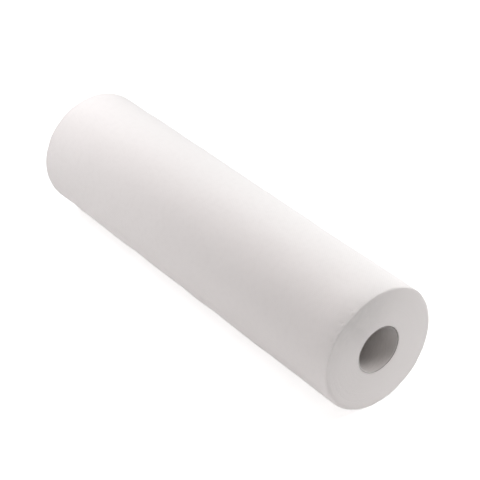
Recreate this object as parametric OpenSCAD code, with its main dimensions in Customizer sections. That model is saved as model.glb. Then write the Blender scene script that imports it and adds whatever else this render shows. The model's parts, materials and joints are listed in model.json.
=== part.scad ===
// Nonwoven couch roll: a long web wound on a paperboard core, lying on its side.
// +X runs along the axis to the end with the open view, +Z is up, and the origin
// is on the axis at the middle of the core's bore.

/* [Roll] */
// Diameter of the full roll over the outermost turn
roll_d = 137; // [100:1:160]
// Width of the nonwoven web, which is the length of the roll
web_w = 500; // [200:5:700]
// Thickness of one turn of the web as wound
web_t = 0.25; // [0.15:0.05:0.6]
// Radius of the soft round where each end face meets the flank
end_round = 3; // [1:0.2:8]
// Width of the flat that the roll's own weight presses where it lies
flat_w = 20; // [12:1:26]
// Angle of the tail edge below the horizontal, on the back of the roll
tail_below = 25; // [10:5:60]

/* [End faces] */
// Radial distance from one groove to the next, which is the width of a bundle of turns
bundle_pitch = 3.2; // [2:0.1:5]
// Width of the groove between two bundles, at the face
groove_w = 0.9; // [0.4:0.1:1.2]
// Depth of the groove between two bundles
groove_depth = 0.3; // [0.1:0.05:0.6]
// Radius of the round where the innermost turns meet the end face
bore_round = 0.8; // [0.2:0.1:2]

/* [Core] */
// Bore of the paperboard core
core_bore = 50; // [38:1:56]
// Wall of the paperboard core
core_wall = 1.25; // [0.8:0.05:3]
// Distance from the end face of the web in to the end of the core
core_recess = 1.3; // [0.2:0.1:4]

/* [Hidden] */
$fn = 180;

roll_r = roll_d / 2;
half_w = web_w / 2;
core_r = core_bore / 2 + core_wall;
core_len = web_w - 2 * core_recess;

// The flat part of an end face, between the rounds at its bore and at the flank
face_in = core_r + bore_round;
face_out = roll_r - end_round;
groove_count = floor((face_out - face_in) / bundle_pitch) - 1;
groove_first = (face_in + face_out - (groove_count - 1) * bundle_pitch) / 2;

// The lower half turn is struck from its own centre, half a web thickness off the axis
lower_r = roll_r - web_t / 2;
lower_z = web_t / 2 * sin(tail_below);
flat_z = lower_z - sqrt(lower_r * lower_r - flat_w * flat_w / 4);

// Room that a cutter takes past the surface it cuts
past = 1;

// Where the sections start, inside the bore that is cut through them
section_in = core_r - 2 * past;

// Turns what is drawn about Z so that it lies along X, with its own +X at the tail edge
module along_axis() {
    rotate([0, 90, 0]) rotate([0, 0, 90 - tail_below]) children();
}

// Revolves an outline as one turn of a spiral: two half turns, the second from a centre
// half a pitch off the axis, so that the outline comes round one pitch further out
module spiral_turn(pitch) {
    rotate_extrude(angle = 180) children();
    translate([-pitch / 2, 0, 0])
        rotate([0, 0, 180])
            rotate_extrude(angle = 180) translate([-pitch / 2, 0]) children();
}

// Half section of the roll from inside its bore out, with a soft round at each end
module roll_section() {
    translate([section_in, -half_w]) square([face_out - section_in, web_w]);
    translate([section_in, end_round - half_w])
        square([roll_r - section_in, web_w - 2 * end_round]);
    for (end = [-1, 1])
        translate([face_out, end * (half_w - end_round)]) circle(r = end_round);
}

// Half section between the two grooved end faces, reaching out past the flank
module grooved_section() {
    section_out = roll_r + bundle_pitch;
    groove = [[-groove_w / 2, 0], [0, -groove_depth], [groove_w / 2, 0]];
    face = [
        for (i = [0 : groove_count - 1], p = groove)
            [groove_first + i * bundle_pitch + p[0], half_w + p[1]]
    ];
    near = concat([[section_in, half_w]], face, [[section_out, half_w]]);
    last = len(near) - 1;
    far = [for (i = [0 : last]) [near[last - i][0], -near[last - i][1]]];
    polygon(concat(near, far));
}

// What is cut at one end of the bore, so that the innermost turns round into the face
module bore_round_cutter() {
    rotate_extrude() difference() {
        translate([core_r - past, -bore_round]) square([bore_round + past, bore_round + past]);
        translate([face_in, -bore_round]) circle(r = bore_round);
    }
}

// All the turns of the web as one wound solid
module wound_web() {
    color("#f4f2f0") difference() {
        along_axis() intersection() {
            spiral_turn(web_t) roll_section();
            spiral_turn(bundle_pitch) grooved_section();
        }
        along_axis() cylinder(r = core_r, h = web_w + 2 * past, center = true);
        for (end = [0, 1])
            mirror([end, 0, 0]) translate([half_w, 0, 0]) along_axis() bore_round_cutter();
        translate([-half_w - past, -roll_r, flat_z - roll_r])
            cube([web_w + 2 * past, roll_d, roll_r]);
    }
}

// Spiral-wound board tube, cut a little shorter than the web is wide
module core_tube() {
    color("#a9a6a2") along_axis() difference() {
        cylinder(r = core_r, h = core_len, center = true);
        cylinder(r = core_bore / 2, h = core_len + 2 * past, center = true);
    }
}

wound_web();
core_tube();
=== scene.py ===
import json
import math

import bmesh
import bpy
import numpy as np
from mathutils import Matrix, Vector, noise


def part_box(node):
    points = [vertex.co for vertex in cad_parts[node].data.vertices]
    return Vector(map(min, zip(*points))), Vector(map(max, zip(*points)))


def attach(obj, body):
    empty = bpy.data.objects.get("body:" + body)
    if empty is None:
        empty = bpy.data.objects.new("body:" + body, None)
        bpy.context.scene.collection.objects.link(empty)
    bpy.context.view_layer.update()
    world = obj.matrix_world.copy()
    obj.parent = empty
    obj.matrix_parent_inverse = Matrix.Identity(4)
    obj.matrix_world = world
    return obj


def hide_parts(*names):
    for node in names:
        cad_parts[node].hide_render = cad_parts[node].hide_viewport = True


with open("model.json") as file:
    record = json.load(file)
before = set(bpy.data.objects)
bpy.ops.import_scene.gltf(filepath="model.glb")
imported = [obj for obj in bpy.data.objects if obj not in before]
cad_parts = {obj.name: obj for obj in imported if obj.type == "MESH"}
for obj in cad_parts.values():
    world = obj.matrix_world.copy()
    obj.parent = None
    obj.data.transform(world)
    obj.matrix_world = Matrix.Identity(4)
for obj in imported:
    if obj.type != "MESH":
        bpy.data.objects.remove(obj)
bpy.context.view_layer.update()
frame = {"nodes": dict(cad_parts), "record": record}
print("frame loaded with nodes", sorted(frame["nodes"]))

mm = 0.001
scene = bpy.context.scene

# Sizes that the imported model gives
webLow, webHigh = (Vector(corner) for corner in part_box("wound_web"))
coreLow, coreHigh = (Vector(corner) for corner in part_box("core_tube"))
mounts = {mount["name"]: mount for mount in frame["record"]["mounts"]}
boreRadius = mounts["core_bore"]["dims"]["r_mm"] * mm
coreRadius = coreHigh.z
coreHalf = coreHigh.x
rollRadius = webHigh.z
halfWidth = webHigh.x
flatHeight = webLow.z

# Camera, at the photograph's viewing angle
cameraView = {
    "place": (1.15123, -0.87257, 0.95154),  # metres
    "azimuth": 52.10,  # degrees from the front, towards the end with the open view
    "elevation": 33.44,
    "lens": 120.85,  # mm, as the width of the sensor
    "sensor": 36.0,
}


def outwardAt(view):
    # direction from the roll towards a camera or a lamp
    azimuth, elevation = math.radians(view["azimuth"]), math.radians(view["elevation"])
    return Vector((
        math.sin(azimuth) * math.cos(elevation),
        -math.cos(azimuth) * math.cos(elevation),
        math.sin(elevation),
    ))


def aimInwards(view):
    return (-outwardAt(view)).to_track_quat("-Z", "Y").to_euler()


def addCamera(view):
    data = bpy.data.cameras.new("camera")
    data.lens = view["lens"]
    data.sensor_width = view["sensor"]
    data.clip_end = 60.0
    camera = bpy.data.objects.new("camera", data)
    camera.location = view["place"]
    camera.rotation_euler = aimInwards(view)
    scene.collection.objects.link(camera)
    scene.camera = camera


addCamera(cameraView)
print("camera placed")


def smoothStep(low, high, value):
    share = np.clip((value - low) / (high - low), 0.0, 1.0)
    return share * share * (3.0 - 2.0 * share)


def noiseAt(points, size, seed):
    # smooth noise of about -1 to 1, with features of the given size in metres
    shift = np.array((seed * 17.31, seed * 5.17, seed * 11.73))  # each seed reads another place
    flat = points.reshape(-1, 3) / size + shift
    values = np.fromiter((noise.noise(Vector(p)) for p in flat.tolist()), float, len(flat))
    return values.reshape(points.shape[:-1]) * 1.6  # the plain noise seldom passes 0.6


def lineNoise(values, size, seed):
    # the same, along one line
    line = np.zeros(values.shape + (3,))
    line[..., 0] = values
    return noiseAt(line, size, seed)


def roundPlaces(x, r, angle):
    # points at a radius and an angle round the axis of the roll
    return np.stack([x, r * np.cos(angle), r * np.sin(angle)], -1)


def gridFaces(columns, rows, loopRows):
    # quads between neighbouring columns and rows, as indices and as grid places of their corners
    column, row = np.meshgrid(
        np.arange(columns), np.arange(rows if loopRows else rows - 1), indexing="ij",
    )
    column, row = column.ravel(), row.ravel()
    places = np.stack([
        np.stack([column, row], -1),
        np.stack([column + 1, row], -1),
        np.stack([column + 1, row + 1], -1),
        np.stack([column, row + 1], -1),
    ], 1)
    index = (places[..., 0] % columns) * rows + places[..., 1] % rows
    return index, places


def makeMesh(name, points, faces, sheetMap, pointValues, sharpAngle):
    mesh = bpy.data.meshes.new(name)
    mesh.from_pydata(points.tolist(), [], faces.tolist())
    layer = mesh.uv_layers.new(name="sheet")
    layer.data.foreach_set("uv", sheetMap.astype(np.float32).ravel())
    for valueName, values in pointValues.items():
        attribute = mesh.attributes.new(valueName, "FLOAT", "POINT")
        attribute.data.foreach_set("value", values.astype(np.float32).ravel())
    work = bmesh.new()
    work.from_mesh(mesh)
    bmesh.ops.remove_doubles(work, verts=work.verts, dist=0.0005 * mm)
    bmesh.ops.recalc_face_normals(work, faces=work.faces)
    work.to_mesh(mesh)
    work.free()
    mesh.shade_smooth()
    mesh.set_sharp_from_angle(angle=math.radians(sharpAngle))
    piece = bpy.data.objects.new(name, mesh)
    scene.collection.objects.link(piece)
    return piece


# The wound web: one solid of all its turns, its free edge lying on the back of the roll. Angles
# round the roll run in degrees from the back over the top (90) to the front (180), and its near
# end is the one at +X, with the open view.
web = {
    "turn": 0.25 * mm,  # thickness of one turn as wound
    "tailBelow": 25.0,  # how far below the back the free edge lies, in degrees
    "flatSoftness": 0.25 * mm,  # how softly the flank runs into the flat on which the roll lies

    # rows and columns of the mesh
    "columns": ((135, 92), (50, 80), (175, 120)),  # degrees from the free edge, and columns in them
    "boreDepths": (11.0, 8.0, 5.6, 3.8, 2.4, 1.4, 0.65),  # mm from the end face in to each row
    "boreSteps": 5,
    "faceRings": 64,
    "rimSteps": 20,
    "flankFrom": (0.0, 0.7),  # shares of the outer round over which the flank's own forms grow in
    "cutUpTo": (0.35, 0.95),  # and over which the cut face ends
    "flankRows": 42,  # on each half of the roll
    "rowCrowding": 1.12,  # above 1 the rows of the flank crowd towards the ends
    "sharpAngle": 42.0,  # degrees, above which an edge is shaded sharp

    # rounds, and where the near rim is crisp: each pair of angles is from none to all, or back
    "boreRound": 0.3 * mm,
    "endRound": 5.6 * mm,
    "crispRim": 1.1 * mm,
    "crispFrom": (10.0, 56.0),
    "crispTo": (165.0, 208.0),
    "crispBelow": 0.15,  # share that stays on the lower side
    "crispBelowTo": (350.0, 325.0),

    # end faces
    "bundlePitch": 3.2 * mm,
    "grooveWidth": 0.9 * mm,
    "grooveDepth": 0.05 * mm,
    "grooveSlope": 0.55,  # share of its width over which each side of a groove rises
    "grooveShows": (0.55, 0.6),  # how much of the grooves shows, and how much that varies
    "groovePatch": 28 * mm,  # size of the places where they show more or less
    "ringRelief": 0.022 * mm,
    "ringSizes": (2.4 * mm, 1.0 * mm),
    "dish": 0.25 * mm,
    "dishSize": 34 * mm,
    "creep": 1.2 * mm,  # how far the outer turns have crept towards the open end past the inner ones
    "creepShape": 1.8,
    "creepOuter": 0.8,  # share of it that stands past the plain face

    # flank
    "swell": 0.42 * mm,
    "swellSize": 46 * mm,
    "swellDetail": 0.4,  # strength and size of finer swells, against the slow ones
    "shoulder": 0.7 * mm,  # one swell of its own at the near end
    "shoulderAt": 56.0,  # degrees
    "shoulderArc": 17.0,
    "shoulderReach": 60 * mm,
    "bands": 0.10 * mm,
    "bandSize": 17 * mm,

    # outer edges
    "edgeWave": 0.28 * mm,
    "edgeWaveSizes": (21 * mm, 6 * mm),
    "edgeShare": 0.7,  # of the wave, both outwards and along the axis
    "frayed": 0.22 * mm,
    "frayedSize": 2.6 * mm,
    "frayedReach": 1.6 * mm,
    "frayedFrom": (108.0, 122.0),  # degrees, none at the first and all at the second
    "frayedTo": (160.0, 150.0),

    # small flecks of the outer turn standing off the near rim, each with a dent behind it
    "nicks": (149.0, 141.0, 133.0, 120.5),  # degrees
    "nickInboard": 1.2 * mm,
    "nickSpacing": 0.5 * mm,  # how much further in each next one lies
    "nickHeight": 0.95 * mm,
    "nickSize": (1.3 * mm, 1.1 * mm),  # round the roll and along it
    "nickDent": 0.5 * mm,
    "dentSize": (1.8 * mm, 1.3 * mm),
    "dentBehind": 2.6 * mm,

    # painted shade: the near rim's upper front, and the end face next to it, are painted a little grey
    "paintedShadeAt": 120.0,  # degrees
    "paintedShadeArc": 38.0,
    "paintedShadeFlank": 15 * mm,  # how far it reaches along the flank and over the end face
    "paintedShadeFace": 40 * mm,

    # innermost turns at both ends
    "lipGap": 0.3 * mm,  # how far they stand off the board tube
    "lipGapDepth": (10 * mm, 2 * mm),  # from the end in, none at the first and all at the second
    "lipGapWidth": 3 * mm,
    "lipUneven": 0.4,
    "lipUnevenSize": 14 * mm,
    "lipSide": 315.0,  # degrees, the side where they stand off most and to which they lean
    "lipSideShare": 0.7,
    "lipLean": 0.4 * mm,
    "lipLeanDepth": 0.5 * mm,
    "lipLeanWidth": 5 * mm,

    # free edge
    "tailReach": 17 * mm,
    "tailLift": 0.75 * mm,
    "tailLiftMean": 0.5,  # share of it that the edge lifts on average
    "tailLiftVaries": 0.7,
    "tailLiftRange": (0.12, 1.3),
    "tailLiftSize": 60 * mm,
    "cornerLift": 0.5 * mm,
    "cornerReach": 35 * mm,
    "tailWaver": 0.5 * mm,
    "tailWaverSize": 45 * mm,
    "tailWaverArc": 12.0,  # degrees to each side of the edge
    "pocket": 4.5 * mm,  # how far the gap under the edge reaches in
    "pocketLift": 0.03 * mm,
}
faceInner = coreRadius + web["boreRound"]
faceOuter = rollRadius - web["endRound"]


def rimOutline(rim):
    # from the end face to the flank over a round of the given radius: radius, place along the
    # axis and outward direction (radial, axial), in as many steps for any radius
    steps = web["rimSteps"]
    flats = round(steps / 4 * (web["endRound"] - rim) / (web["endRound"] - web["crispRim"]))
    turns = 0.5 * math.pi * (1.0 - np.arange(steps - 2 * flats + 1) / (steps - 2 * flats))
    rows = np.stack([
        rollRadius - rim * (1.0 - np.cos(turns)), halfWidth - rim * (1.0 - np.sin(turns)),
        np.cos(turns), np.sin(turns),
    ])
    if flats == 0:
        return rows
    run = (web["endRound"] - rim) * np.arange(flats, 0, -1) / flats
    none, full = np.zeros(flats), np.ones(flats)
    face = np.stack([rollRadius - rim - run, halfWidth * full, none, full])
    flank = np.stack([rollRadius * full, halfWidth - rim - run[::-1], full, none])
    return np.concatenate([face, rows, flank], 1)


def webOutline():
    # from the bore wall over the end face to the middle of the flank: radius, place along the
    # axis, outward direction (radial, axial), share of the flank and share of the cut face
    rows = []
    for depth in web["boreDepths"]:
        rows.append((coreRadius, halfWidth - depth * mm, -1.0, 0.0, 0.0, 1.0))
    for step in range(web["boreSteps"] + 1):
        turn = math.pi - 0.5 * math.pi * step / web["boreSteps"]
        rows.append((
            faceInner + web["boreRound"] * math.cos(turn),
            halfWidth - web["boreRound"] * (1.0 - math.sin(turn)),
            math.cos(turn), math.sin(turn), 0.0, 1.0,
        ))
    for ring in range(1, web["faceRings"]):
        rows.append((
            faceInner + (faceOuter - faceInner) * ring / web["faceRings"],
            halfWidth, 0.0, 1.0, 0.0, 1.0,
        ))
    for step, edge in enumerate(rimOutline(web["endRound"]).T):
        share = step / web["rimSteps"]
        onFlank, onCut = smoothStep(*web["flankFrom"], share), 1.0 - smoothStep(*web["cutUpTo"], share)
        rows.append((*edge, float(onFlank), float(onCut)))
    flankEnd = halfWidth - web["endRound"]
    for row in range(1, web["flankRows"] + 1):
        share = row / (web["flankRows"] + 0.5)
        rows.append((rollRadius, flankEnd * (1.0 - share ** web["rowCrowding"]), 1.0, 0.0, 1.0, 0.0))
    other = [(r, -x, nr, -nx, flank, cut) for r, x, nr, nx, flank, cut in reversed(rows)]
    return np.array(rows + other).T


def spiralRadius(turn, start, pitch):
    # radius of a turn that starts at one radius and comes in by a pitch over its second half
    late = np.clip(turn, math.pi, 2.0 * math.pi)
    half = pitch / 2.0
    return -half * np.cos(late) + np.sqrt((start - half) ** 2 - (half * np.sin(late)) ** 2)


def startRadius(turn, radius, pitch):
    # the radius at which the turn through a point starts
    late = np.clip(turn, math.pi, 2.0 * math.pi)
    half = pitch / 2.0
    return np.hypot(radius * np.cos(late) + half, radius * np.sin(late)) + half


def crispShare(degrees):
    # how crisp the near rim is at an angle round the roll, from the soft round to the crisp one
    rising = smoothStep(*web["crispFrom"], degrees)
    falling = 1.0 - smoothStep(*web["crispTo"], degrees)
    below = smoothStep(*web["crispBelowTo"], degrees) * (degrees > web["crispTo"][0])
    return np.maximum(rising * falling, web["crispBelow"] * below)


def webColumns():
    # how far each column is turned from the free edge, in radians
    turn, start = [], 0.0
    for span, count in web["columns"]:
        turn += [math.radians(start + span * step / count) for step in range(count)]
        start += span
    return turn


def flankForm(place, x, degrees):
    # slow swells, one of its own at the near end, and faint bands
    detail = web["swellDetail"]
    swell = noiseAt(place, web["swellSize"], 1) + detail * noiseAt(place, web["swellSize"] * detail, 2)
    shoulder = ((degrees - web["shoulderAt"]) / web["shoulderArc"]) ** 2
    shoulder = np.exp(-shoulder - ((halfWidth - x) / web["shoulderReach"]) ** 2)
    bands = lineNoise(x, web["bandSize"], 3)
    return web["swell"] * swell + web["shoulder"] * shoulder + web["bands"] * bands


def faceForm(place, r, turn, side):
    # softened grooves between the bundles of turns, fine rings and a slight dish
    pitch = web["bundlePitch"]
    grooves = math.floor((faceOuter - faceInner) / pitch) - 1
    firstGroove = (faceInner + faceOuter - (grooves - 1) * pitch) / 2.0
    number = (startRadius(turn, r, pitch) - firstGroove) / pitch
    nearest = np.clip(np.round(number), 0, grooves - 1)
    groove = np.exp(-((number - nearest) * pitch / (web["grooveSlope"] * web["grooveWidth"])) ** 2)
    shows, varies = web["grooveShows"]
    strength = np.clip(shows + varies * noiseAt(place, web["groovePatch"], 4), 0.0, 1.0)
    sideRadius = r + side * 0.5  # the two ends have rings of their own
    coarse, fine = web["ringSizes"]
    rings = lineNoise(sideRadius, coarse, 5) + 0.5 * lineNoise(sideRadius, fine, 6)
    dish = noiseAt(place, web["dishSize"], 7)
    return web["ringRelief"] * rings + web["dish"] * dish - web["grooveDepth"] * groove * strength


def rimWave(place, r, x, degrees):
    # the outer edges aren't quite even, and the near one is a little frayed where it is crisp
    coarse, fine = web["edgeWaveSizes"]
    wave = web["edgeWave"] * (noiseAt(place, coarse, 8) + 0.5 * noiseAt(place, fine, 9))
    nearEdge = np.exp(-((r - rollRadius) ** 2 + (x - halfWidth) ** 2) / web["frayedReach"] ** 2)
    wornEndAndShade = smoothStep(*web["frayedFrom"], degrees) * smoothStep(*web["frayedTo"], degrees)
    return wave + web["frayed"] * wornEndAndShade * nearEdge * np.abs(noiseAt(place, web["frayedSize"], 13))


def rimFlecks(x, degrees):
    height = np.zeros(x.shape)
    for index, angle in enumerate(web["nicks"]):
        off = np.radians(degrees - angle) * rollRadius
        inboard = halfWidth - (web["nickInboard"] + web["nickSpacing"] * index) - x
        arc, reach = web["nickSize"]
        fleck = np.exp(-(off / arc) ** 2 - (inboard / reach) ** 2)
        arc, reach = web["dentSize"]
        dent = np.exp(-(off / arc) ** 2 - ((inboard - web["dentBehind"]) / reach) ** 2)
        height += web["nickHeight"] * fleck - web["nickDent"] * dent
    return height


# painted shade: how strongly the grey painted at the near rim's upper front lies at each point
def paintedShadeShare(r, x, degrees):
    fromRim = np.hypot((r - rollRadius) / web["paintedShadeFace"], (halfWidth - x) / web["paintedShadeFlank"])
    return np.exp(-((degrees - web["paintedShadeAt"]) / web["paintedShadeArc"]) ** 2 - fromRim ** 2)


def lipForm(place, radius, along, degrees):
    # how far the innermost turns stand off the board tube at its ends, or lean over it
    depth = halfWidth - np.abs(along)
    outwards = radius - faceInner
    toSide = np.cos(np.radians(degrees - web["lipSide"]))
    uneven = 1.0 + web["lipUneven"] * noiseAt(place, web["lipUnevenSize"], 10)
    gap = smoothStep(*web["lipGapDepth"], depth) * smoothStep(web["lipGapWidth"], 0.0, outwards)
    gap = gap * (1.0 + web["lipSideShare"] * toSide) * uneven
    lean = (depth < web["lipLeanDepth"]) * smoothStep(web["lipLeanWidth"], 0.0, outwards) * toSide
    return web["lipGap"] * gap + web["lipLean"] * lean


def tailLift(along):
    lift = web["tailLiftMean"] + web["tailLiftVaries"] * lineNoise(along, web["tailLiftSize"], 11)
    lift = web["tailLift"] * np.clip(lift, *web["tailLiftRange"])
    lift = lift + web["cornerLift"] * smoothStep(halfWidth - web["cornerReach"], halfWidth, np.abs(along))
    print("free edge lifts", round(float(lift.min()) / mm, 2), "to", round(float(lift.max()) / mm, 2), "mm")
    return lift


def layTail(turn, x, r, along, flank):
    # the free edge lifts unevenly and its line wavers: changes x and r in place, and returns how
    # far each point is turned
    fade = np.clip(1.0 - turn * rollRadius / web["tailReach"], 0.0, 1.0) ** 2
    r[:-3] += (tailLift(along) * fade * flank)[:-3]
    waver = web["tailWaver"] * lineNoise(along, web["tailWaverSize"], 12) / rollRadius
    fromTail = np.minimum(turn, 2.0 * math.pi - turn)
    nearTail = np.clip(1.0 - fromTail / math.radians(web["tailWaverArc"]), 0.0, 1.0)
    angle = turn + waver * nearTail * flank
    # the last three columns are the turn below the edge, that turn at the bottom of the pocket
    # under it, and the lower side of the edge itself
    angle[-2] += web["pocket"] / rollRadius * flank
    r[-2] += web["pocketLift"] * flank
    r[-1] = r[0] - web["turn"] * flank
    for values in (x, r):
        values[-3:] = np.where(flank > 0, values[-3:], values[0])
    return angle


def buildWeb():
    radius, along, outRadial, outAxial, flank, cut = webOutline()
    turn, x = np.meshgrid(webColumns() + [2.0 * math.pi] * 3, along, indexing="ij")
    r, nr, nx = (np.broadcast_to(row, x.shape).copy() for row in (radius, outRadial, outAxial))
    side = np.sign(x)
    tailTurn = math.radians(web["tailBelow"])
    degrees = np.degrees(turn - tailTurn) % 360.0

    # the near rim is crisp over its top and upper front, and softer elsewhere
    rimStart = len(along) // 2 - web["flankRows"] - web["rimSteps"] - 1
    rim = slice(rimStart, rimStart + web["rimSteps"] + 1)
    crisp = crispShare(degrees[:, rim])
    for values, edge in zip((r, x, nr, nx), rimOutline(web["crispRim"])):
        values[:, rim] += crisp * (edge - values[:, rim])
    length = np.hypot(nr, nx)
    nr, nx = nr / length, nx / length
    onFace = smoothStep(0.5, 1.0, np.abs(nx))
    onEdge = np.abs(nr * nx) * 2.0 * (radius > faceOuter)

    # small forms, with all their noise read at places on the plain roll
    place = roundPlaces(x, r, turn - tailTurn)
    r += (spiralRadius(turn, rollRadius, web["turn"]) - rollRadius) * flank
    r += flankForm(place, x, degrees) * flank
    x = x + side * faceForm(place, r, turn, side) * onFace
    wave = rimWave(place, r, x, degrees) * onEdge * web["edgeShare"]
    r += rimFlecks(x, degrees) * (nr > 0.5) + wave
    x = x + side * wave
    # painted shade at the near rim, passed to the material as a point value
    paintedShade = paintedShadeShare(r, x, degrees)

    # the turns have crept a little along the axis, so one end is slightly hollow and the other full
    outer = np.clip((radius - coreRadius) / (rollRadius - coreRadius), 0.0, 1.0) ** web["creepShape"]
    x = x + web["creep"] * (outer - 1.0 + web["creepOuter"])
    r += lipForm(place, radius, along, degrees) * (flank == 0)
    angle = layTail(turn, x, r, along, flank)
    points = roundPlaces(x, r, angle - tailTurn)

    # the flat that the weight of the roll presses
    depth = points[..., 2] - flatHeight
    soft = web["flatSoftness"]
    points[..., 2] = flatHeight + (depth + np.sqrt(depth ** 2 + soft ** 2)) / 2.0

    # sheet coordinates in metres: along the web and across it
    faces, places = gridFaces(len(turn), len(along), True)
    steps = np.hypot(np.diff(radius, append=radius[0]), np.diff(along, append=along[0]))
    across = np.concatenate([[0.0], np.cumsum(steps)])
    lengthwise = np.concatenate([turn[:, 0], [2.0 * math.pi]]) * rollRadius
    sheetMap = np.stack([lengthwise[places[..., 0]], across[places[..., 1]]], -1)
    pointValues = {"cutFace": np.broadcast_to(cut, x.shape).ravel(), "paintedShade": paintedShade.ravel()}
    piece = makeMesh("woundWeb", points.reshape(-1, 3), faces, sheetMap, pointValues, web["sharpAngle"])
    print("wound web:", len(piece.data.polygons), "faces")
    return piece


woundWeb = buildWeb()
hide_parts("wound_web")
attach(woundWeb, "root")

# The board tube, wound from a strip of board on a long helix
core = {
    "columns": 120,
    "seamColumns": (-1.8, -0.9, -0.35, 0.0, 0.35, 0.9, 1.8),  # degrees, more columns across the seam
    "outsideRows": (0.97, 0.5, 0.0, -0.5, -0.97),  # shares of half the length
    "sharpAngle": 50.0,
    "helixTurns": 6,
    "rowTurn": 6.0,  # degrees of helix from one row to the next
    "seamWidth": 0.5 * mm,
    "seamDepth": 0.09 * mm,
    "seamStep": 0.05 * mm,
    "seamStepArcs": (1.8, 80.0),  # degrees over which the step rises and dies away
    "chamfer": 0.10 * mm,
    "plies": 3,
    "plyLine": 0.05 * mm,
    "plyLineHalf": 0.06 * mm,
    "dents": 0.04 * mm,
    "dentSize": 12 * mm,
    "plainEnd": 1.5 * mm,  # from the end in, where the seam and the dents reach their full depth
    "cutWave": 0.10 * mm,
    "cutWaveSizes": (9 * mm, 3 * mm),
    "cutWaveReach": 3 * mm,
    # painted shade: the cut end is painted darker towards the back of the tube
    "paleAt": 180.0,  # degrees, the side on which the cut end is paler
    "towardsOpen": 0.9 * mm,  # how far the tube has moved towards the end with the open view
    "clearance": 0.02 * mm,  # to the web that is wound on it
}


def coreOutlines():
    # the outside with both cut ends, and the inner wall, each as radius and place along the axis
    wall = coreRadius - boreRadius
    chamfer = core["chamfer"]
    outer = coreRadius - core["clearance"]
    end = [(boreRadius, chamfer), (boreRadius + chamfer, 0.0)]
    for ply in range(1, core["plies"]):
        line = boreRadius + wall * ply / core["plies"]
        half = core["plyLineHalf"]
        end += [(line - half, 0.0), (line, core["plyLine"]), (line + half, 0.0)]
    end += [(outer - chamfer, 0.0), (outer, chamfer)]
    end = np.array(end)
    outside = np.concatenate([
        np.stack([end[:, 0], coreHalf - end[:, 1]], -1),
        [[outer, coreHalf * share] for share in core["outsideRows"]],
        np.stack([end[::-1, 0], end[::-1, 1] - coreHalf], -1),
    ])
    rows = round(core["helixTurns"] * 360.0 / core["rowTurn"])
    share = np.arange(rows + 1) / rows
    inside = np.stack([np.full(rows + 1, boreRadius), (coreHalf - chamfer) * (1.0 - 2.0 * share)], -1)
    return outside, inside, share * core["helixTurns"] * 2.0 * math.pi


def buildCore():
    plain = np.arange(1, core["columns"]) * 2.0 * math.pi / core["columns"]
    turn = np.sort(np.concatenate([np.radians(core["seamColumns"]), plain]) % (2.0 * math.pi))
    fromSeam = (turn + math.pi) % (2.0 * math.pi) - math.pi
    gap = np.exp(-(fromSeam * boreRadius / (0.5 * core["seamWidth"])) ** 2)
    rise, fade = np.radians(core["seamStepArcs"])
    step = smoothStep(0.0, rise, fromSeam) * smoothStep(fade, 0.0, np.abs(fromSeam))
    seam = core["seamDepth"] * gap - core["seamStep"] * step

    outside, inside, helix = coreOutlines()
    points, faces, maps, paleEnds = [], [], [], []
    offset = 0
    for outline, twist in ((outside, np.zeros(len(outside))), (inside, helix)):
        angle = turn[:, None] + twist[None, :]
        r = np.broadcast_to(outline[:, 0], angle.shape).copy()
        x = np.broadcast_to(outline[:, 1], angle.shape)
        place = roundPlaces(x, r, angle)
        cutEnd = smoothStep(coreHalf - core["cutWaveReach"], coreHalf, np.abs(x))
        coarse, fine = core["cutWaveSizes"]
        cutWave = noiseAt(place, coarse, 21) + 0.5 * noiseAt(place, fine, 22)
        if outline is inside:
            inner = smoothStep(coreHalf - core["chamfer"], coreHalf - core["plainEnd"], np.abs(x))
            r += (seam[:, None] + core["dents"] * noiseAt(place, core["dentSize"], 23)) * inner
        x = x + np.sign(x) * core["cutWave"] * cutEnd * cutWave + core["towardsOpen"]
        # painted shade: share of the pale cut end colour, which falls off towards the back
        paleEnds.append((0.5 + 0.5 * np.cos(angle - math.radians(core["paleAt"]))).ravel())
        points.append(roundPlaces(x, r, angle).reshape(-1, 3))
        index, places = gridFaces(len(turn), len(outline), False)
        faces.append(index + offset)
        offset += angle.size
        length = np.concatenate([[0.0], np.cumsum(np.hypot(*np.diff(outline, axis=0).T))])
        arc = np.concatenate([turn, [2.0 * math.pi + turn[0]]]) * boreRadius
        maps.append(np.stack([arc[places[..., 0]], length[places[..., 1]]], -1))
    pointValues = {"paleEnd": np.concatenate(paleEnds)}
    points, faces, maps = (np.concatenate(parts) for parts in (points, faces, maps))
    piece = makeMesh("coreTube", points, faces, maps, pointValues, core["sharpAngle"])
    print("core tube:", len(piece.data.polygons), "faces")
    return piece


coreTube = buildCore()
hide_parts("core_tube")
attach(coreTube, "root")


def newMaterial(name):
    material = bpy.data.materials.new(name)
    material.use_nodes = True
    tree = material.node_tree
    return material, tree, tree.nodes["Principled BSDF"]


def addNode(tree, kind, inputs=None, **settings):
    # a node with its settings; an input is either another node's output or a plain value
    made = tree.nodes.new(kind)
    for name, value in settings.items():
        setattr(made, name, value)
    for name, value in (inputs or {}).items():
        if isinstance(value, bpy.types.NodeSocket):
            tree.links.new(value, made.inputs[name])
        else:
            made.inputs[name].default_value = value
    return made


def calc(tree, operation, first, second=0.0, third=0.0, clamp=False):
    return addNode(
        tree, "ShaderNodeMath", {0: first, 1: second, 2: third}, operation=operation, use_clamp=clamp,
    ).outputs[0]


def spread(tree, value, low, high, toLow=0.0, toHigh=1.0):
    return addNode(tree, "ShaderNodeMapRange", {
        "Value": value, "From Min": low, "From Max": high, "To Min": toLow, "To Max": toHigh,
    }, interpolation_type="SMOOTHSTEP").outputs["Result"]


def mixColours(tree, share, first, second):
    first, second = (
        (*colour, 1.0) if isinstance(colour, tuple) else colour for colour in (first, second)
    )
    return addNode(tree, "ShaderNodeMix", {0: share, 6: first, 7: second}, data_type="RGBA").outputs[2]


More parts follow.
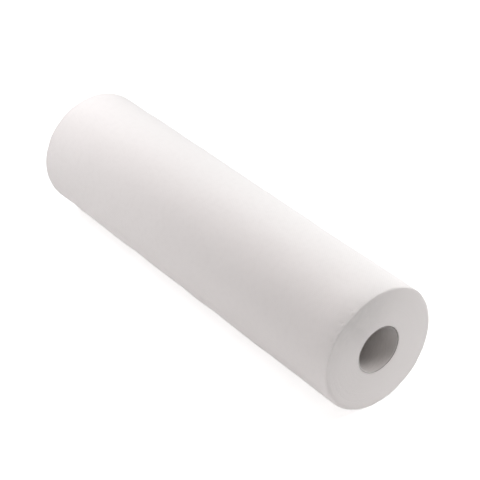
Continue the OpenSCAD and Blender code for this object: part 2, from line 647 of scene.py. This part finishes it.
def mixValues(tree, share, first, second):
    return addNode(tree, "ShaderNodeMix", {0: share, 2: first, 3: second}, data_type="FLOAT").outputs[0]


# Fibres laid over each other in several directions, with clouds of thicker and thinner places:
# the face of the nonwoven and the paper of the board tube both use it
def fibreGroup():
    tree = bpy.data.node_groups.new("laidFibres", "ShaderNodeTree")
    for name, kind, value in (
        ("Place", "NodeSocketVector", (0.0, 0.0, 0.0)),  # metres along and across the sheet
        ("Fibre Width", "NodeSocketFloat", 0.0003),
        ("Fibre Length", "NodeSocketFloat", 0.003),
        ("Cloud Size", "NodeSocketFloat", 0.005),
    ):
        socket = tree.interface.new_socket(name=name, in_out="INPUT", socket_type=kind)
        socket.default_value = value
    for name in ("Fibres", "Clouds", "Height"):
        tree.interface.new_socket(name=name, in_out="OUTPUT", socket_type="NodeSocketFloat")
    inside = addNode(tree, "NodeGroupInput")
    outside = addNode(tree, "NodeGroupOutput")
    across = calc(tree, "DIVIDE", 1.0, inside.outputs["Fibre Width"])
    along = calc(tree, "DIVIDE", 1.0, inside.outputs["Fibre Length"])
    scale = addNode(tree, "ShaderNodeCombineXYZ", {"X": along, "Y": across, "Z": 1.0}).outputs[0]
    layers = []
    # each layer of fibres has a direction in radians, and a shift so that no two are alike
    for angle, shift in ((0.12, 0.0), (-0.55, 3.1), (0.85, 7.7), (-1.25, 12.4)):
        turned = addNode(tree, "ShaderNodeVectorRotate", {
            "Vector": inside.outputs["Place"], "Angle": angle,
        }, rotation_type="Z_AXIS").outputs[0]
        stretched = addNode(tree, "ShaderNodeVectorMath", {
            0: turned, 1: scale,
        }, operation="MULTIPLY").outputs[0]
        moved = addNode(tree, "ShaderNodeVectorMath", {
            0: stretched, 1: (shift, shift * 1.7, shift),
        }, operation="ADD").outputs[0]
        strands = addNode(tree, "ShaderNodeTexNoise", {
            "Vector": moved, "Scale": 0.5, "Detail": 1.0, "Roughness": 0.4, "Distortion": 0.25,
        }).outputs["Fac"]
        ridge = calc(tree, "ABSOLUTE", calc(tree, "SUBTRACT", strands, 0.5))
        layers.append(spread(tree, ridge, 0.10, 0.0))
    top = layers[0]
    for layer in layers[1:]:
        top = calc(tree, "MAXIMUM", top, layer)
    cloudScale = calc(tree, "DIVIDE", 1.0, inside.outputs["Cloud Size"])
    clouds = addNode(tree, "ShaderNodeTexNoise", {
        "Vector": inside.outputs["Place"], "Scale": cloudScale, "Detail": 3.0, "Roughness": 0.55,
    }).outputs["Fac"]
    height = calc(tree, "MULTIPLY_ADD", clouds, 0.9, calc(tree, "MULTIPLY", top, 0.5))
    for name, value in (("Fibres", top), ("Clouds", clouds), ("Height", height)):
        tree.links.new(value, outside.inputs[name])
    return tree


laidFibres = fibreGroup()


def placeFibres(tree, place, width, length, cloud):
    group = addNode(tree, "ShaderNodeGroup", node_tree=laidFibres)
    tree.links.new(place, group.inputs["Place"])
    for name, value in (("Fibre Width", width), ("Fibre Length", length), ("Cloud Size", cloud)):
        group.inputs[name].default_value = value
    return group.outputs["Fibres"], group.outputs["Clouds"], group.outputs["Height"]


nonwoven = {
    "colour": (0.94, 0.92, 0.914),
    "thin": (0.915, 0.894, 0.888),  # where fewer fibres lie
    "bonded": (0.86, 0.842, 0.836),  # at the bond points
    "cut": (0.94, 0.92, 0.914),
    "cutDeep": (0.90, 0.878, 0.871),  # between the turns
    # painted shade at the near rim
    "paintedShade": (0.745, 0.735, 0.729),

    # flank
    "fibreWidth": 0.32 * mm,
    "fibreLength": 3.2 * mm,
    "cloudSize": 5.5 * mm,
    "coverage": (0.32, 0.62),  # levels of the clouds, from thin places to full ones
    "fibreTone": 0.35,
    "bondAlong": 3.0 * mm,
    "bondAcross": 2.6 * mm,
    "bondEdge": (0.5, 0.8),  # levels of the waves that make a bond point, from its rim inwards
    "bondTone": 0.8,
    "bondDepth": 1.3,  # against the height of the fibres
    "relief": 0.05 * mm,
    "rough": (0.80, 0.90),

    # end faces
    "waverScale": 90.0,  # slow waves in a metre, which carry the lines and rings off their circles
    "turnWaver": 3.0,  # in turns
    "turnTone": 0.25,
    "turnHeight": 0.25,
    "ringSize": 1.3 * mm,
    "ringWaver": 1.2 * mm,
    "ringTone": (0.42, 0.78),
    "ringHeight": 1.1,
    "fuzzSize": 0.9 * mm,  # stray fibres
    "fuzzTone": 0.2,
    "cutRelief": 0.06 * mm,
    "cutRough": 0.95,

    # the painted shade at the rim is patchy, and fainter on the flank
    "paintedShadePatchy": 0.75,
    "paintedShadeOnFlank": 0.6,

    # gloss
    "specular": 0.25,
    "sheen": 0.08,
    "sheenRough": 0.6,
}


def flankLook(tree):
    # the face of the web: its fibres, and bond points pressed into it in a staggered pattern
    sheet = addNode(tree, "ShaderNodeUVMap", uv_map="sheet").outputs["UV"]
    fibres, clouds, height = placeFibres(
        tree, sheet, nonwoven["fibreWidth"], nonwoven["fibreLength"], nonwoven["cloudSize"],
    )
    split = addNode(tree, "ShaderNodeSeparateXYZ", {"Vector": sheet})
    waves = [
        calc(tree, "COSINE", calc(tree, "MULTIPLY", split.outputs[axis], 2.0 * math.pi / pitch))
        for axis, pitch in (("X", nonwoven["bondAlong"]), ("Y", nonwoven["bondAcross"]))
    ]
    bonds = spread(tree, calc(tree, "MULTIPLY", *waves), *nonwoven["bondEdge"])
    height = calc(tree, "MULTIPLY_ADD", bonds, -nonwoven["bondDepth"], height)
    coverage = spread(tree, clouds, *nonwoven["coverage"])
    coverage = calc(tree, "MULTIPLY_ADD", fibres, nonwoven["fibreTone"], coverage, clamp=True)
    colour = mixColours(tree, coverage, nonwoven["thin"], nonwoven["colour"])
    bondTone = calc(tree, "MULTIPLY", bonds, nonwoven["bondTone"])
    colour = mixColours(tree, bondTone, colour, nonwoven["bonded"])
    return colour, spread(tree, coverage, 0.0, 1.0, *nonwoven["rough"]), height


def cutLook(tree, place, waver):
    # the cut turns on the end faces: fine lines, rings of slightly different tone and stray fibres
    parts = addNode(tree, "ShaderNodeSeparateXYZ", {"Vector": place})
    flat = addNode(tree, "ShaderNodeCombineXYZ", {
        "X": 0.0, "Y": parts.outputs["Y"], "Z": parts.outputs["Z"],
    }).outputs[0]
    radius = addNode(tree, "ShaderNodeVectorMath", {0: flat}, operation="LENGTH").outputs["Value"]
    angle = calc(tree, "ARCTAN2", parts.outputs["Z"], parts.outputs["Y"])
    angle = calc(tree, "DIVIDE", angle, 2.0 * math.pi)
    count = calc(tree, "MULTIPLY_ADD", radius, 1.0 / web["turn"], angle)
    count = calc(tree, "MULTIPLY_ADD", waver, nonwoven["turnWaver"], count)
    line = calc(tree, "ABSOLUTE", calc(tree, "SUBTRACT", calc(tree, "FRACT", count), 0.5))
    turns = spread(tree, line, 0.5, 0.2)
    rings = addNode(tree, "ShaderNodeTexNoise", {
        "W": calc(tree, "MULTIPLY_ADD", waver, nonwoven["ringWaver"], radius),
        "Scale": 1.0 / nonwoven["ringSize"], "Detail": 2.5, "Roughness": 0.6,
    }, noise_dimensions="1D").outputs["Fac"]
    fuzz = addNode(tree, "ShaderNodeTexNoise", {
        "Vector": place, "Scale": 1.0 / nonwoven["fuzzSize"], "Detail": 3.0, "Roughness": 0.65,
    }).outputs["Fac"]
    height = calc(tree, "MULTIPLY_ADD", rings, nonwoven["ringHeight"], fuzz)
    height = calc(tree, "MULTIPLY_ADD", turns, nonwoven["turnHeight"], height)
    tone = spread(tree, rings, 0.30, 0.62, *nonwoven["ringTone"])
    tone = calc(tree, "MULTIPLY_ADD", turns, nonwoven["turnTone"], tone)
    strays = spread(tree, fuzz, 0.35, 0.6)
    tone = calc(tree, "MULTIPLY_ADD", strays, nonwoven["fuzzTone"], tone, clamp=True)
    return mixColours(tree, tone, nonwoven["cutDeep"], nonwoven["cut"]), height


def nonwovenMaterial():
    material, tree, shader = newMaterial("nonwovenWeb")
    place = addNode(tree, "ShaderNodeTexCoord").outputs["Object"]
    waver = addNode(tree, "ShaderNodeTexNoise", {
        "Vector": place, "Scale": nonwoven["waverScale"], "Detail": 2.0,
    }).outputs["Fac"]
    flankColour, flankRough, flankHeight = flankLook(tree)
    cutColour, cutHeight = cutLook(tree, place, waver)
    cutShare = addNode(tree, "ShaderNodeAttribute", attribute_name="cutFace").outputs["Fac"]
    # painted shade: the grey at the near rim's upper front, patchy and fainter on the flank
    paintedShade = addNode(tree, "ShaderNodeAttribute", attribute_name="paintedShade").outputs["Fac"]
    patches = spread(tree, waver, 0.3, 0.6, nonwoven["paintedShadePatchy"], 1.0)
    paintedShade = calc(tree, "MULTIPLY", paintedShade, patches)
    paintedShadeHere = spread(tree, cutShare, 0.0, 1.0, nonwoven["paintedShadeOnFlank"], 1.0)
    paintedShade = calc(tree, "MULTIPLY", paintedShade, paintedShadeHere)
    colour = mixColours(tree, cutShare, flankColour, cutColour)
    colour = mixColours(tree, paintedShade, colour, nonwoven["paintedShade"])
    tree.links.new(colour, shader.inputs["Base Color"])
    rough = mixValues(tree, cutShare, flankRough, nonwoven["cutRough"])
    tree.links.new(rough, shader.inputs["Roughness"])
    flankBump = addNode(tree, "ShaderNodeBump", {
        "Height": flankHeight, "Distance": nonwoven["relief"], "Strength": 1.0,
    }).outputs["Normal"]
    cutWeight = calc(tree, "MULTIPLY", cutHeight, cutShare)
    normal = addNode(tree, "ShaderNodeBump", {
        "Height": cutWeight, "Distance": nonwoven["cutRelief"], "Strength": 1.0, "Normal": flankBump,
    }).outputs["Normal"]
    tree.links.new(normal, shader.inputs["Normal"])
    shader.inputs["Specular IOR Level"].default_value = nonwoven["specular"]
    shader.inputs["Sheen Weight"].default_value = nonwoven["sheen"]
    shader.inputs["Sheen Roughness"].default_value = nonwoven["sheenRough"]
    return material


board = {
    "colour": (0.685, 0.667, 0.657),
    "dark": (0.62, 0.603, 0.593),
    "fleck": (0.73, 0.71, 0.70),
    "cutEnd": (0.68, 0.66, 0.648),
    # painted shade on the back of the cut end
    "cutEndPaintedShade": (0.25, 0.238, 0.231),
    "cutEndDepths": (0.25 * mm, 0.05 * mm),  # from the end in, none at the first and all at the second
    "fleckShare": 0.3,
    "fibreWidth": 0.18 * mm,
    "fibreLength": 1.4 * mm,
    "cloudSize": 3.5 * mm,
    "relief": 0.02 * mm,
    "rough": (0.78, 0.92),
    "specular": 0.3,
}


def boardMaterial():
    material, tree, shader = newMaterial("coreBoard")
    sheet = addNode(tree, "ShaderNodeUVMap", uv_map="sheet").outputs["UV"]
    fibres, clouds, height = placeFibres(
        tree, sheet, board["fibreWidth"], board["fibreLength"], board["cloudSize"],
    )
    base = mixColours(tree, spread(tree, clouds, 0.3, 0.65), board["dark"], board["colour"])
    flecked = mixColours(tree, calc(tree, "MULTIPLY", fibres, board["fleckShare"]), base, board["fleck"])
    place = addNode(tree, "ShaderNodeTexCoord").outputs["Object"]
    parts = addNode(tree, "ShaderNodeSeparateXYZ", {"Vector": place})
    fromMiddle = calc(tree, "ABSOLUTE", calc(tree, "SUBTRACT", parts.outputs["X"], core["towardsOpen"]))
    deep, shallow = board["cutEndDepths"]
    edge = spread(tree, fromMiddle, coreHalf - deep, coreHalf - shallow)
    # the cut end's own worn colour, with painted shade on its back side
    wornEndAndShade = calc(tree, "MULTIPLY", edge, spread(tree, clouds, 0.35, 0.55, 0.7, 1.0))
    pale = addNode(tree, "ShaderNodeAttribute", attribute_name="paleEnd").outputs["Fac"]
    cutColour = mixColours(tree, spread(tree, pale, 0.1, 0.9), board["cutEndPaintedShade"], board["cutEnd"])
    tree.links.new(mixColours(tree, wornEndAndShade, flecked, cutColour), shader.inputs["Base Color"])
    tree.links.new(spread(tree, clouds, 0.3, 0.7, *board["rough"]), shader.inputs["Roughness"])
    normal = addNode(tree, "ShaderNodeBump", {
        "Height": height, "Distance": board["relief"], "Strength": 1.0,
    }).outputs["Normal"]
    tree.links.new(normal, shader.inputs["Normal"])
    shader.inputs["Specular IOR Level"].default_value = board["specular"]
    return material


woundWeb.data.materials.append(nonwovenMaterial())
coreTube.data.materials.append(boardMaterial())
print("materials ready")

# Floor and backdrop, both plain white for the camera and in reflections
stage = {
    "reach": 9.0,
    "colour": (0.9, 0.9, 0.9),
    "white": (0.62, 1.0),  # plain white seen in it besides its own light, close to the roll and far off
    "whiteFrom": (0.3, 1.1),  # metres from the roll's middle
    "worldLight": 0.02,
}


def seenShare(tree):
    # 1 for what the camera sees, straight or in a gloss, and 0 for the light that falls on things
    rays = addNode(tree, "ShaderNodeLightPath")
    seen = calc(tree, "MAXIMUM", rays.outputs["Is Camera Ray"], rays.outputs["Is Glossy Ray"])
    return calc(tree, "MAXIMUM", seen, rays.outputs["Is Transmission Ray"])


def addFloor():
    reach = stage["reach"]
    mesh = bpy.data.meshes.new("floor")
    corners = [(sx * reach, sy * reach, flatHeight) for sx, sy in ((-1, -1), (1, -1), (1, 1), (-1, 1))]
    mesh.from_pydata(corners, [], [(0, 1, 2, 3)])
    floor = bpy.data.objects.new("floor", mesh)
    scene.collection.objects.link(floor)
    material, tree, shader = newMaterial("paleFloor")
    shader.inputs["Base Color"].default_value = (*stage["colour"], 1.0)
    shader.inputs["Roughness"].default_value = 1.0
    shader.inputs["Specular IOR Level"].default_value = 0.0
    place = addNode(tree, "ShaderNodeTexCoord").outputs["Object"]
    away = addNode(tree, "ShaderNodeVectorMath", {0: place}, operation="LENGTH").outputs["Value"]
    white = spread(tree, away, *stage["whiteFrom"], *stage["white"])
    strength = calc(tree, "MULTIPLY", seenShare(tree), white)
    tree.links.new(strength, shader.inputs["Emission Strength"])
    shader.inputs["Emission Color"].default_value = (1.0, 1.0, 1.0, 1.0)
    mesh.materials.append(material)


addFloor()

# Lights: soft round boxes, each aimed at a place along the axis of the roll, with angles in degrees
# as the camera's, lengths in metres and power in watts
lights = {
    "high": {
        "azimuth": 135, "elevation": 57, "distance": 1.2, "aim": 0.0, "size": 0.7,
        "power": 6.89, "colour": (1.0, 0.956, 0.945),
    },
    "farEnd": {
        "azimuth": 300, "elevation": 55, "distance": 0.6, "aim": -0.25, "size": 0.4,
        "power": 2.29, "colour": (1.0, 0.979, 0.988),
    },
    "front": {
        "azimuth": 0, "elevation": 10, "distance": 2.2, "aim": 0.0, "size": 0.8,
        "power": 9.9, "colour": (1.0, 0.973, 0.965),
    },
    "fill": {
        "azimuth": 45, "elevation": 32, "distance": 2.2, "aim": 0.0, "size": 1.2,
        "power": 7.25, "colour": (1.0, 0.926, 0.904),
    },
    "back": {
        "azimuth": 180, "elevation": 40, "distance": 0.8, "aim": 0.12, "size": 0.5,
        "power": 2.36, "colour": (0.93, 0.992, 1.0),
    },
    "nearEnd": {
        "azimuth": 140, "elevation": 5, "distance": 0.45, "aim": 0.25, "size": 0.25,
        "power": 0.31, "colour": (1.0, 0.995, 0.987),
    },
}


def addLights():
    for name, light in lights.items():
        data = bpy.data.lights.new(name, "AREA")
        data.shape = "DISK"
        data.size = light["size"]
        data.energy = light["power"]
        data.color = light["colour"]
        lamp = bpy.data.objects.new(name, data)
        lamp.location = Vector((light["aim"], 0.0, 0.0)) + outwardAt(light) * light["distance"]
        lamp.rotation_euler = aimInwards(light)
        lamp.visible_camera = False
        scene.collection.objects.link(lamp)


def addWorld():
    # white for the camera and in reflections, and nearly no light of its own
    world = bpy.data.worlds.new("studio")
    scene.world = world
    world.use_nodes = True
    tree = world.node_tree
    back = tree.nodes["Background"]
    back.inputs["Color"].default_value = (1.0, 1.0, 1.0, 1.0)
    strength = calc(tree, "MAXIMUM", seenShare(tree), stage["worldLight"])
    tree.links.new(strength, back.inputs["Strength"])


addWorld()
addLights()
scene.view_settings.view_transform = "Standard"
print("floor, world and lights ready")
